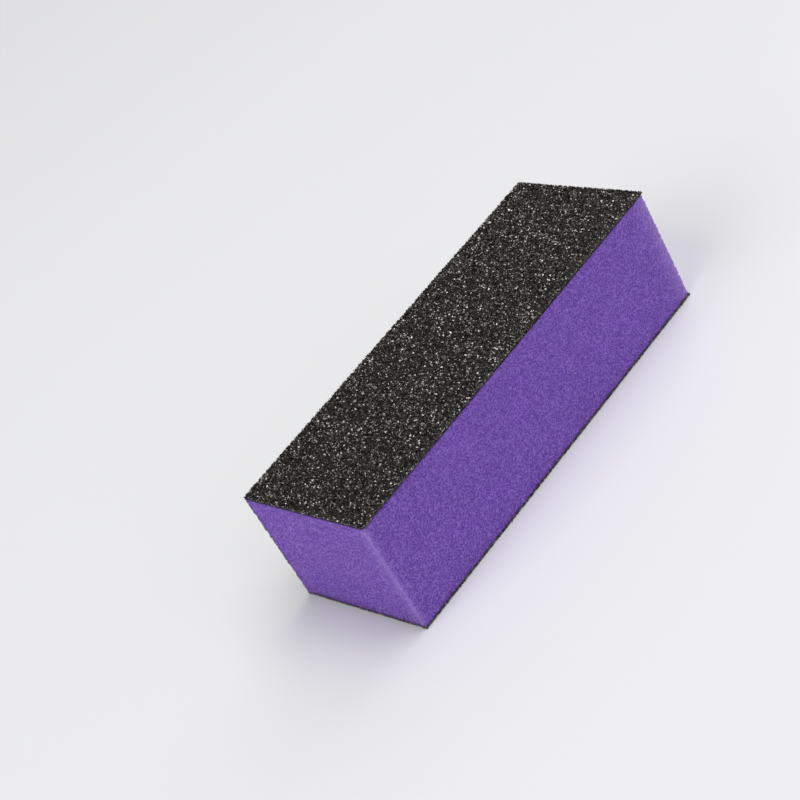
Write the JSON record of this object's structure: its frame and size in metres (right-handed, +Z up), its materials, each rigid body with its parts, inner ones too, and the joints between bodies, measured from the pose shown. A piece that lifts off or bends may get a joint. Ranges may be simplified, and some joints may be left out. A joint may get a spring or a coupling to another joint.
{
  "type": "nail buffer block",
  "caption": "Rectangular foam nail buffer block with coarse black abrasive on three long faces and bare foam on the fourth and the ends.",
  "frame": {"origin": "centre of the footprint on the surface that the block lies on, at the outer face of the lower grain layer", "axes": "+X along the block, +Y across it towards the rear abrasive face (the bare foam face looks along -Y), +Z up through the upper abrasive face"},
  "size_m": [0.095, 0.034, 0.028],
  "materials": {
    "purple_foam": "matte, fine-celled soft foam with a cut surface",
    "resin_bond": "cured black resin bed, lumpy, semi-gloss",
    "silicon_carbide_grit": "coarse sharp black grain with glinting facets"
  },
  "bodies": {
    "root": {"foam_core": "purple_foam", "top_bond_coat": "resin_bond", "top_grit_layer": "silicon_carbide_grit", "bottom_bond_coat": "resin_bond", "bottom_grit_layer": "silicon_carbide_grit", "rear_bond_coat": "resin_bond", "rear_grit_layer": "silicon_carbide_grit"}
  },
  "joints": []
}
